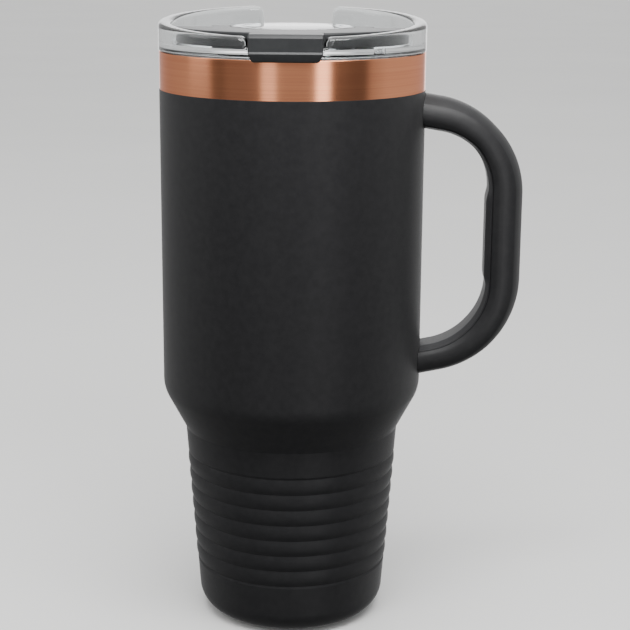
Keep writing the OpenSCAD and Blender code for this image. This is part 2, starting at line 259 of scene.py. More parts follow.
def rounded_slab(outline: Array, low: float, high: float, r_low: float, r_high: float,
                 steps: int = 5) -> Surface:
    """A flat slab with rounded top and bottom edges.

    Each ring of points is the outline moved inwards by r (1 - sin t) at the
    height low + r (1 - cos t) and likewise at the top, for t from 0 to 90
    degrees.

    Args:
        outline: (x, y) points, anticlockwise and closed.
        low: height of the underside.
        high: height of the top.
        r_low: edge radius underneath.
        r_high: edge radius on top.
        steps: arc steps of each edge.

    Returns:
        The surface, closed.
    """
    normal = -offset_normals(outline, True)
    t = np.linspace(0, np.pi / 2, steps + 1)
    inset = np.concatenate([r_low * (1 - np.sin(t)), r_high * (1 - np.sin(t[::-1]))])
    height = np.concatenate([low + r_low * (1 - np.cos(t)), high - r_high * (1 - np.cos(t[::-1]))])
    rings = outline[None] - normal[None] * inset[:, None, None]
    pts = np.concatenate([rings, np.broadcast_to(height[:, None, None], rings.shape[:2] + (1,))], -1)
    surface = Surface.grid(pts, False, True)
    m = len(outline)
    surface.caps = [list(range(m))[::-1], list(range((len(inset) - 1) * m, len(inset) * m))]
    return surface


def slot_outline(x: float, y: float, width: float, depth: float, steps: int = 16) -> Array:
    """Outline of a slot with round ends, as half circles joined by straight sides.

    Args:
        x: X of the middle.
        y: Y of the middle.
        width: whole size along X.
        depth: whole size along Y.
        steps: points of each half circle.

    Returns:
        (x, y) points, anticlockwise.
    """
    run, r = (width - depth) / 2, depth / 2
    t = np.linspace(-np.pi / 2, np.pi / 2, steps)
    right = np.stack([x + run + r * np.cos(t), y + r * np.sin(t)], 1)
    left = np.stack([x - run - r * np.cos(t), y - r * np.sin(t)], 1)
    return np.concatenate([right, left])


def along_x(surface: Surface) -> Surface:
    """Turns a surface made round Z so that it lies round X, keeping its handedness."""
    surface.verts = surface.verts[:, [2, 0, 1]]
    return surface


def put(name: str, surface: Surface, sharp: float = 38.0) -> bpy.types.Object:
    """Makes a mesh object in metres from a surface in millimetres.

    Args:
        name: name of the piece.
        surface: the surface; its shells are closed.
        sharp: edges that turn by more degrees than this shade as sharp.

    Returns:
        The object, at the origin and linked to the scene.
    """
    faces = surface.faces()
    mesh = bpy.data.meshes.new(name)
    mesh.from_pydata((surface.verts * MM).tolist(), [], faces)
    mesh.validate()
    obj = bpy.data.objects.new(name, mesh)
    bpy.context.scene.collection.objects.link(obj)
    face_out(mesh)
    soften(mesh, sharp)
    return obj


def face_out(mesh: bpy.types.Mesh) -> None:
    """Splits wide faces into triangles and turns the mesh if its faces point inwards.

    Args:
        mesh: the mesh, which is changed.
    """
    work = bmesh.new()
    work.from_mesh(mesh)
    wide = [face for face in work.faces if len(face.verts) > 4]
    bmesh.ops.triangulate(work, faces=wide, ngon_method="EAR_CLIP")
    if work.calc_volume(signed=True) < 0:
        bmesh.ops.reverse_faces(work, faces=work.faces)
    work.to_mesh(mesh)
    work.free()


def soften(mesh: bpy.types.Mesh, sharp: float) -> None:
    """Shades the mesh smooth apart from edges that turn by more than sharp degrees.

    Args:
        mesh: the mesh, which is changed.
        sharp: the angle in degrees.
    """
    mesh.polygons.foreach_set("use_smooth", np.ones(len(mesh.polygons), bool))
    mesh.set_sharp_from_angle(angle=math.radians(sharp))
    mesh.update()


def combine(target: bpy.types.Object, tool: Surface, operation: Join, sharp: float = 38.0) -> None:
    """Joins a second closed surface to a piece, or cuts it away.

    Args:
        target: the piece that changes.
        tool: the closed surface to add or cut with.
        operation: whether the tool is added or cut away.
        sharp: edges that turn by more degrees than this shade as sharp.
    """
    cutter = put(target.name + "_tool", tool)
    step = target.modifiers.new("combine", "BOOLEAN")
    step.object, step.operation, step.solver = cutter, operation.value, "MANIFOLD"
    bpy.context.view_layer.update()
    made = bpy.data.meshes.new_from_object(target.evaluated_get(bpy.context.evaluated_depsgraph_get()))
    target.modifiers.clear()
    target.data = made
    made.name = target.name
    bpy.data.objects.remove(cutter)
    soften(made, sharp)


# --------------------------------------------------------------------------
# Finishes
# --------------------------------------------------------------------------


class Book:
    """A material's node tree with short calls for adding and joining nodes."""

    def __init__(self, name: str) -> None:
        """Starts an empty material with an output and a Principled shader.

        Args:
            name: the material's name.
        """
        self.material = bpy.data.materials.new(name)
        self.material.use_nodes = True
        self.tree = self.material.node_tree
        self.tree.nodes.clear()
        self.shader = self.add("ShaderNodeBsdfPrincipled")
        out = self.add("ShaderNodeOutputMaterial")
        self.join(self.shader.outputs["BSDF"], out.inputs["Surface"])

    def add(self, kind: str, **values: object) -> bpy.types.Node:
        """Adds a node and sets its properties.

        Args:
            kind: type of the node.
            values: its properties.

        Returns:
            The node.
        """
        node = self.tree.nodes.new(kind)
        for key, value in values.items():
            setattr(node, key, value)
        return node

    def join(self, source: Socket, target: Socket) -> None:
        """Links an output socket to an input socket."""
        self.tree.links.new(source, target)

    def set(self, **values: object) -> None:
        """Sets constant inputs of the shader, with underscores for spaces in their names."""
        for key, value in values.items():
            self.shader.inputs[key.replace("_", " ")].default_value = value

    def place(self, scale: tuple) -> Socket:
        """Object coordinates stretched by a scale along each axis.

        Args:
            scale: factors along X, Y and Z.

        Returns:
            The coordinates.
        """
        coord = self.add("ShaderNodeTexCoord")
        mapping = self.add("ShaderNodeMapping")
        mapping.inputs["Scale"].default_value = scale
        self.join(coord.outputs["Object"], mapping.inputs["Vector"])
        return mapping.outputs["Vector"]

    def noise(self, scale: tuple, detail: float = 3.0, rough: float = 0.55) -> Socket:
        """Noise over the object's coordinates, in grains per metre along each axis.

        Args:
            scale: grains per metre along X, Y and Z.
            detail: number of finer layers.
            rough: strength of the finer layers.

        Returns:
            The noise value.
        """
        tex = self.add("ShaderNodeTexNoise")
        tex.inputs["Scale"].default_value = 1.0
        tex.inputs["Detail"].default_value = detail
        tex.inputs["Roughness"].default_value = rough
        self.join(self.place(scale), tex.inputs["Vector"])
        return tex.outputs["Fac"]

    def spread(self, value: Socket, low: float, high: float) -> Socket:
        """Maps a noise value from its usual 0.3 to 0.7 onto low to high.

        Args:
            value: the noise value.
            low: result at 0.3.
            high: result at 0.7.

        Returns:
            The mapped value.
        """
        span = self.add("ShaderNodeMapRange")
        span.inputs["From Min"].default_value = 0.3
        span.inputs["From Max"].default_value = 0.7
        span.inputs["To Min"].default_value = low
        span.inputs["To Max"].default_value = high
        self.join(value, span.inputs["Value"])
        return span.outputs["Result"]

    def tint(self, value: Socket, dark: tuple, light: tuple) -> None:
        """Colours the shader between two colours by a value.

        Args:
            value: 0 for the dark colour, 1 for the light one.
            dark: colour at 0.
            light: colour at 1.
        """
        mix = self.add("ShaderNodeMix", data_type="RGBA")
        mix.inputs[6].default_value = (*dark, 1)
        mix.inputs[7].default_value = (*light, 1)
        self.join(value, mix.inputs["Factor"])
        self.join(mix.outputs[2], self.shader.inputs["Base Color"])

    def bump(self, value: Socket, depth: float) -> None:
        """Raises the surface by a value times a depth in metres.

        Args:
            value: height between 0 and 1.
            depth: height in metres at 1.
        """
        node = self.add("ShaderNodeBump")
        node.inputs["Distance"].default_value = depth
        node.inputs["Strength"].default_value = 1.0
        self.join(value, node.inputs["Height"])
        self.join(node.outputs["Normal"], self.shader.inputs["Normal"])


@dataclass(frozen=True)
class Finish:
    """A procedural finish: colour range, gloss range and grain.

    Attributes:
        slot: the record's material slot.
        dark: colour in the grain's lows.
        light: colour in the grain's highs.
        gloss: lowest and highest roughness.
        grain: grains per metre along X, Y and Z.
        depth: height of the grain in metres.
        metallic: 1 for bare metal.
        specular: specular level.
    """

    slot: str
    dark: tuple
    light: tuple
    gloss: tuple
    grain: tuple
    depth: float
    metallic: float = 0.0
    specular: float = 0.5

    def build(self) -> bpy.types.Material:
        """Makes the material.

        Returns:
            The material.
        """
        book = Book(self.slot)
        book.set(Metallic=self.metallic, Specular_IOR_Level=self.specular)
        grain = book.noise(self.grain)
        book.tint(book.spread(book.noise(tuple(g / 9 for g in self.grain)), 0, 1), self.dark, self.light)
        book.join(book.spread(grain, *self.gloss), book.shader.inputs["Roughness"])
        book.bump(grain, self.depth)
        self.extra(book)
        return book.material

    def extra(self, book: Book) -> None:
        """What a finish adds to the common recipe; nothing by default.

        Args:
            book: the material being made.
        """


@dataclass(frozen=True)
class Brushed(Finish):
    """Metal brushed round the Z axis, whose highlights spread along Z.

    Attributes:
        stretch: how far highlights spread across the brushing, 0 to 1.
        edge: colour of the reflections seen at a glancing angle.
    """

    stretch: float = 0.7
    edge: tuple = (1.0, 0.97, 0.94, 1.0)

    def extra(self, book: Book) -> None:
        """Spreads the highlights across the brush marks.

        Args:
            book: the material being made.
        """
        book.set(Anisotropic=self.stretch, Anisotropic_Rotation=0.25, Specular_Tint=self.edge)
        tangent = book.add("ShaderNodeTangent", direction_type="RADIAL", axis="Z")
        book.join(tangent.outputs["Tangent"], book.shader.inputs["Tangent"])


@dataclass(frozen=True)
class Powder(Finish):
    """Baked powder paint, which looks paler at a glancing angle.

    Attributes:
        haze: strength of the pale look at a glancing angle, 0 to 1.
    """

    haze: float = 0.045

    def extra(self, book: Book) -> None:
        """Adds the haze."""
        book.set(Sheen_Weight=self.haze, Sheen_Roughness=0.5)


@dataclass(frozen=True)
class Clear(Finish):
    """Clear moulded plastic."""

    ior: float = 1.52

    def extra(self, book: Book) -> None:
        """Lets light through."""
        book.set(Transmission_Weight=1.0, IOR=self.ior)


@dataclass(frozen=True)
class Milky(Finish):
    """Translucent silicone."""

    def extra(self, book: Book) -> None:
        """Scatters light under the surface."""
        book.set(Subsurface_Weight=0.35, Subsurface_Scale=0.003)


POWDER = Powder("powder_coat", (0.011, 0.011, 0.012), (0.015, 0.015, 0.016), (0.4, 0.52), (3200,) * 3,
                depth=0.00003, specular=0.15)
COPPER = Brushed("copper_plate", (0.66, 0.255, 0.135), (0.74, 0.31, 0.165), (0.19, 0.24), (60, 60, 14000),
                 depth=0.000001, metallic=1.0, stretch=0.8, edge=(1.0, 0.77, 0.72, 1.0))
STEEL = Brushed("bare_steel", (0.5, 0.5, 0.51), (0.6, 0.6, 0.61), (0.24, 0.36), (120, 120, 9000),
                depth=0.000004, metallic=1.0)
BRIGHT = Finish("bright_steel", (0.6, 0.6, 0.61), (0.68, 0.68, 0.69), (0.1, 0.18), (2500,) * 3,
                depth=0.000002, metallic=1.0)
SOLDER = Finish("seal_glass", (0.3, 0.3, 0.27), (0.4, 0.4, 0.36), (0.1, 0.25), (900,) * 3, depth=0.00002)
GRIP = Finish("handle_plastic", (0.012, 0.012, 0.013), (0.016, 0.016, 0.017), (0.38, 0.5), (3800,) * 3,
              depth=0.000025, specular=0.3)
SOFT_GRIP = Finish("handle_plastic", (0.02, 0.02, 0.022), (0.026, 0.026, 0.028), (0.5, 0.62), (3000,) * 3,
                   depth=0.00002)
BRASS = Finish("brass", (0.62, 0.42, 0.16), (0.72, 0.5, 0.2), (0.2, 0.34), (3000,) * 3,
               depth=0.00001, metallic=1.0)
GLAZE = Clear("clear_lid", (0.84, 0.86, 0.87), (0.88, 0.9, 0.91), (0.01, 0.03), (260,) * 3,
              depth=0.000003, specular=0.15)
RUBBER = Milky("silicone", (0.68, 0.68, 0.66), (0.76, 0.76, 0.74), (0.42, 0.56), (1800,) * 3, depth=0.00001)
SATIN = Finish("flap_plastic", (0.014, 0.015, 0.016), (0.019, 0.02, 0.021), (0.32, 0.42), (4200,) * 3,
               depth=0.00001, specular=0.34)


class Wardrobe:
    """Makes each finish once and dresses pieces with it."""

    def __init__(self) -> None:
        """Starts with nothing made."""
        self.made: dict = {}

    def material(self, finish: Finish) -> bpy.types.Material:
        """The finish's material, made on first use.

        Args:
            finish: the finish.

        Returns:
            Its material.
        """
        if finish not in self.made:
            self.made[finish] = finish.build()
        return self.made[finish]

    def dress(self, obj: bpy.types.Object, finish: Finish) -> None:
        """Puts a finish on a piece or a frame node."""
        obj.data.materials.clear()
        obj.data.materials.append(self.material(finish))

    def new_piece(self, obj: bpy.types.Object, finish: Finish, body: Body, *nodes: str) -> None:
        """Dresses a new piece, hangs it on its body and hides the frame nodes it stands for.

        Args:
            obj: the piece.
            finish: its finish.
            body: the body it moves with.
            nodes: names of the frame nodes it stands for.
        """
        self.dress(obj, finish)
        if nodes:
            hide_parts(*nodes)
        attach(obj, body.value)
        LOG.info("%s: %d faces on %s", obj.name, len(obj.data.polygons), body.value)

    def keep(self, finish: Finish, *nodes: str) -> None:
        """Dresses frame nodes whose shape already serves.

        Args:
            finish: the finish.
            nodes: names of the frame nodes.
        """
        for node in nodes:
            self.dress(frame["nodes"][node], finish)
            LOG.info("%s: kept from the frame", node)


def top_of(node: str) -> float:
    """Highest point of a frame node, in millimetres."""
    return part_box(node)[1].z / MM


def foot_of(node: str) -> float:
    """Lowest point of a frame node, in millimetres."""
    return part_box(node)[0].z / MM


def reach_of(node: str) -> float:
    """Furthest X of a frame node, in millimetres."""
    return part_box(node)[1].x / MM


def hinge_height() -> float:
    """Height of the flap's hinge axis, in millimetres."""
    return frame["joints"][1]["pos_m"][2] / MM


# --------------------------------------------------------------------------
# The cup
# --------------------------------------------------------------------------


@dataclass
class Cup:
    """Double-walled steel cup with a ribbed, tapered foot.

    Attributes:
        wall: thickness of the outer wall.
        liner_wall: thickness of the inner wall.
        waist: radius and height of the waist above the foot.
        foot_r: foot radius at the top of the base corner.
        corner: radius of the base corner.
        shoulder: radius of the shoulder's round edge.
        shoulder_z: height where the straight body starts.
        lean: half angle of the shoulder's cone, in degrees.
        liner_r: radius of the inner wall's barrel.
        room: how far the inner wall stays inside the foot.
        flare: how far below the lip the inner wall starts to widen and stops.
        rib_count: number of ribs.
        rib_pitch: distance between ribs.
        rib_low: height of the lowest groove.
        rib_depth: depth of the grooves below the taper.
        rib_crown: height of the crowns above the grooves.
    """

    wall: float = 0.7
    liner_wall: float = 0.5
    waist: tuple = (41.9, 76.5)
    foot_r: float = 36.9
    corner: float = 10.0
    shoulder: float = 14.0
    shoulder_z: float = 96.0
    lean: float = 28.0
    liner_r: float = 46.8
    room: float = 4.0
    flare: tuple = (7.2, 2.6)
    rib_count: int = 7
    rib_pitch: float = 6.35
    rib_low: float = 21.225
    rib_depth: float = 0.4
    rib_crown: float = 0.62

    def taper(self, z: float) -> float:
        """Radius of the foot's plain taper, which grows evenly with height."""
        return self.foot_r + (z - self.corner) * (self.waist[0] - self.foot_r) / (self.waist[1] - self.corner)

    def ribs(self) -> tuple:
        """Zigzag of groove and crown points with the radii that round them.

        A crown's tangents meet at twice its height above the grooves, so a
        zigzag of that height, rounded, gives arcs of the height wanted.

        Returns:
            Points (r, z), and the radius of each.
        """
        points, radii = [(self.taper(self.rib_low - 0.9), self.rib_low - 0.9)], [0.5]
        for i in range(self.rib_count + 1):
            z = self.rib_low + i * self.rib_pitch
            points.append((self.taper(z) - self.rib_depth, z))
            radii.append(0.35)
            if i < self.rib_count:
                z += self.rib_pitch / 2
                points.append((self.taper(z) - self.rib_depth + 2 * self.rib_crown, z))
                radii.append(8.0)
        end = self.rib_low + self.rib_count * self.rib_pitch + 0.9
        return points + [(self.taper(end), end)], radii + [0.5]

    def shoulder_corner(self, r: float) -> tuple:
        """Where the shoulder cone's line meets the straight body.

        Args:
            r: radius of the straight body.

        Returns:
            The corner (r, z).
        """
        lean = math.radians(self.lean)
        x = r - self.shoulder + self.shoulder * math.cos(lean)
        z = self.shoulder_z - self.shoulder * math.sin(lean)
        slope = (x - self.waist[0]) / (z - self.waist[1])
        return r, z + (r - x) / slope

    def outer(self) -> Array:
        """Profile of the outer wall as a closed loop.

        Returns:
            (r, z) points.
        """
        r, top = reach_of("outer_wall"), top_of("outer_wall")
        r = max(r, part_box("outer_wall")[1].y / MM)
        ring = reach_of("bottom_cover") + 0.1
        ribs, rib_radii = self.ribs()
        turn = self.shoulder_corner(r)
        points = [(ring, self.wall), (ring, 0), (self.taper(0), 0), *ribs]
        points += [self.waist, turn, (r, top), (r - self.wall, top)]
        radii = [0, 0.3, self.corner, *rib_radii, 1.0, self.shoulder, 0.12, 0]
        inner = [(turn[0] - self.wall, turn[1] + 0.2), (self.waist[0] - 1.4, self.waist[1] + 0.5),
                 (self.taper(0) - self.wall, self.wall)]
        points += inner
        radii += [self.shoulder - self.wall, 2.0, self.corner - self.wall]
        return fillet_path(points, radii, True, 3.5)

    def band(self) -> Array:
        """Profile of the plated rim band.

        Returns:
            (r, z) points.
        """
        r, low, top = reach_of("rim_band"), foot_of("rim_band"), top_of("rim_band")
        points = [(r - self.wall + 0.1, low), (r, low), (r, top), (r - self.wall + 0.1, top)]
        return fillet_path(points, [0, 0.1, 0.4, 0.2], True)

    def liner(self) -> Array:
        """Profile of the inner wall, from the axis outside and back inside.

        Returns:
            (r, z) points.
        """
        low, top, lip = foot_of("inner_wall"), top_of("inner_wall"), reach_of("inner_wall")
        r, t = self.liner_r, self.liner_wall
        neck = (self.waist[0] - self.room, self.waist[1] + 0.5)
        turn = (r, self.shoulder_corner(r + 3.4)[1] + 2.4)
        side = self.taper(low) - self.room
        start, end = top - self.flare[0], top - self.flare[1]
        outside = [(0, low), (side, low), neck, turn, (r, start), (lip, end), (lip, top)]
        inside = [(lip - t, top), (lip - t, end + 0.3), (r - t, start + 0.3), (r - t, turn[1] + 0.2),
                  (neck[0] - t, neck[1] + 0.4), (side - t, low + t), (0, low + t)]
        radii = [0, 9, 3, 12, 4, 2, 0.2, 0.2, 2, 4, 12, 3, 8.5, 0]
        return fillet_path(outside + inside, radii, False, 5)

    def cover(self) -> Array:
        """Profile of the flush round cover under the cup, with one shallow ring.

        Returns:
            (r, z) points.
        """
        r, top = reach_of("bottom_cover"), top_of("bottom_cover")
        points = [(0, 0), (r - 6, 0), (r - 5.6, 0.25), (r - 5.0, 0.25), (r - 4.6, 0), (r, 0), (r, top),
                  (0, top)]
        return fillet_path(points, [0, 0.2, 0.2, 0.2, 0.2, 0.25, 0.1, 0])

    def make(self, wardrobe: Wardrobe) -> None:
        """Builds and dresses the cup.

        Args:
            wardrobe: what dresses the pieces.
        """
        shell = put("outer_shell", revolve(self.outer(), segments=256, closed=True))
        wardrobe.new_piece(shell, POWDER, Body.MUG, "outer_wall")
        band = put("plated_band", revolve(self.band(), segments=256, closed=True))
        wardrobe.new_piece(band, COPPER, Body.MUG, "rim_band")
        liner = put("liner", revolve(self.liner(), segments=192))
        wardrobe.new_piece(liner, STEEL, Body.MUG, "inner_wall")
        cover = put("base_cover", revolve(self.cover(), segments=160))
        wardrobe.new_piece(cover, STEEL, Body.MUG, "bottom_cover")
        wardrobe.keep(STEEL, "base_plate", "getter", "getter_clip")
        wardrobe.keep(SOLDER, "vacuum_seal")


# --------------------------------------------------------------------------
# The handle
# --------------------------------------------------------------------------


@dataclass
class Handle:
    """Side handle: a channel-shaped shell closed by a strip on the finger side.

    Attributes:
        grip_x: distance of the grip's centre line from the axis.
        half_w: half the width across the fingers.
        arms: heights of the two arms' centre lines at the body.
        slopes: how steeply the arms lean, in degrees.
        bends: bend radii of the two corners.
        half_t: half thickness at the arms, the upper corner, the grip and the lower corner.
        strip_w: half width of the strip's face.
        plate: thickness of the strip's plate.
        swell: how far the strip stands proud at the grip.
    """

    grip_x: float = 81.7
    half_w: float = 11.5
    arms: tuple = (200.8, 103.7)
    slopes: tuple = (9.4, 12.0)
    bends: tuple = (30.0, 32.0)
    half_t: tuple = (6.35, 5.7, 6.7, 6.4, 5.8)
    strip_w: float = 9.0
    plate: float = 1.3
    swell: float = 0.8

    def centre_line(self) -> tuple:
        """Stations along the handle.

        Two straight arms, two arcs and the upright grip, tangent to each
        other: the arcs' ends lie r tan(turn / 2) from the corners of the
        straight lines.

        Returns:
            Positions (x, z), headings in degrees and distances run.
        """
        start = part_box("outer_wall")[1].y / MM
        run = self.grip_x - start
        tops = (self.arms[0] - run * math.tan(math.radians(self.slopes[0])),
                self.arms[1] + run * math.tan(math.radians(self.slopes[1])))
        reach = [b * math.tan(math.radians((90 - s) / 2)) for b, s in zip(self.bends, self.slopes)]
        upper = np.array([self.grip_x - self.bends[0], tops[0] - reach[0]])
        lower = np.array([self.grip_x - self.bends[1], tops[1] + reach[1]])
        h1 = np.linspace(-self.slopes[0], -90, 30)
        h2 = np.linspace(-90, -180 + self.slopes[1], 30)
        arc1 = upper + self.bends[0] * np.stack([-np.sin(np.radians(h1)), np.cos(np.radians(h1))], 1)
        arc2 = lower + self.bends[1] * np.stack([-np.sin(np.radians(h2)), np.cos(np.radians(h2))], 1)
        first = np.linspace([start, self.arms[0]], arc1[0], 8)[:-1]
        grip = np.linspace(arc1[-1], arc2[0], 26)[1:-1]
        last = np.linspace(arc2[-1], [start, self.arms[1]], 8)[1:]
        path = np.concatenate([first, arc1, grip, arc2, last])
        heading = np.concatenate([np.full(7, h1[0]), h1, np.full(24, -90.0), h2, np.full(7, h2[-1])])
        return path, heading, distance_run(path)

    def sweep(self, section: Array, stations: tuple) -> Surface:
        """Carries a section along the handle.

        A section point (out, across) lands at the station plus out times the
        heading's left-hand normal, and across along Y.  The first and last
        sections follow the mug's round wall.

        Args:
            section: (stations, points, 2) array.
            stations: what centre_line returns.

        Returns:
            The surface, with closed ends.
        """
        path, heading, _ = stations
        a = np.radians(heading + 90)[:, None]
        x = path[:, :1] + section[..., 0] * np.cos(a)
        z = path[:, 1:] + section[..., 0] * np.sin(a)
        y = section[..., 1]
        wall = np.sqrt((reach_of("outer_wall") + 0.12) ** 2 - y**2)
        for i in (0, -1):
            slope = math.tan(math.radians(heading[i]))
            z[i] += (wall[i] - x[i]) * slope
            x[i] = wall[i]
        surface = Surface.grid(np.stack([x, y, z], -1), False, True)
        m, n = section.shape[1], len(path)
        surface.caps = [list(range(m))[::-1], list(range((n - 1) * m, n * m))]
        return surface

    def thickness(self, heading: Array) -> Array:
        """Half thickness along the handle, from the values at five headings."""
        at = [-180 + self.slopes[1], -135, -90, -45, -self.slopes[0]]
        return np.interp(heading, at, self.half_t[::-1])

    def shell_section(self, t: float) -> Array:
        """Channel section for a half thickness.

        The outer part is an ellipse, (t cos a, w sin a) for a from 0 to 62
        degrees; a flank with a soft ridge runs from it to the seam, and the
        hollow lies inside.

        Args:
            t: half thickness.

        Returns:
            (out, across) points, closed.
        """
        w, c, seam = self.half_w, self.strip_w, self.plate - t
        a = np.radians(np.linspace(0, 62, 14))[1:]
        crown = np.stack([t * np.cos(a), w * np.sin(a)], 1)
        flank = fillet_path([crown[-1], (-0.3 * t, w), (seam + 0.4, c + 0.95), (seam + 0.05, c + 0.5),
                             (seam + 0.05, c - 2.2), (t - 4.0, c - 2.4), (t - 2.6, c - 3.8)],
                            [0, 4.0, 0.8, 0.3, 0.2, 1.0, 0], steps=6)[1:]
        half = np.concatenate([[(t, 0)], crown, flank])
        return np.concatenate([half, half[:0:-1] * (1, -1)])

    def strip_section(self, t: float, proud: float) -> Array:
        """Section of the strip: a rounded plate over the seam with a stem in the channel.

        Args:
            t: half thickness of the handle.
            proud: how far the face stands proud.

        Returns:
            (out, across) points, closed.
        """
        c, seam = self.strip_w, self.plate - t
        half = [(-t - proud, 0.62 * c), (seam - 0.25, c + 0.35), (seam - 0.05, c + 0.5),
                (seam - 0.05, c - 2.4), (seam + 1.4, c - 2.5)]
        points = half + [(p[0], -p[1]) for p in half[::-1]]
        radii = [2.5, 0.4, 0.1, 0.1, 0.2]
        return fillet_path(points, radii + radii[::-1], True, steps=6)

    def make(self, wardrobe: Wardrobe) -> None:
        """Builds and dresses the handle.

        Args:
            wardrobe: what dresses the pieces.
        """
        stations = self.centre_line()
        _, heading, run = stations
        t = self.thickness(heading)
        middle = run[len(run) // 2]
        rise = np.clip((19 - np.abs(run - middle)) / 5, 0, 1)
        proud = self.swell * rise * rise * (3 - 2 * rise)
        shell = np.stack([self.shell_section(v) for v in t])
        strip = np.stack([self.strip_section(v, p) for v, p in zip(t, proud)])
        grip = put("handle_grip", self.sweep(shell, stations))
        wardrobe.new_piece(grip, GRIP, Body.MUG, "handle_shell")
        inside = put("finger_strip", self.sweep(strip, stations))
        wardrobe.new_piece(inside, SOFT_GRIP, Body.MUG, "handle_inner_cover")
        wardrobe.keep(STEEL, "upper_bracket", "lower_bracket")
        wardrobe.keep(BRASS, "handle_inserts")
        wardrobe.keep(BRIGHT, "handle_screws")


# --------------------------------------------------------------------------
# The lid
# --------------------------------------------------------------------------


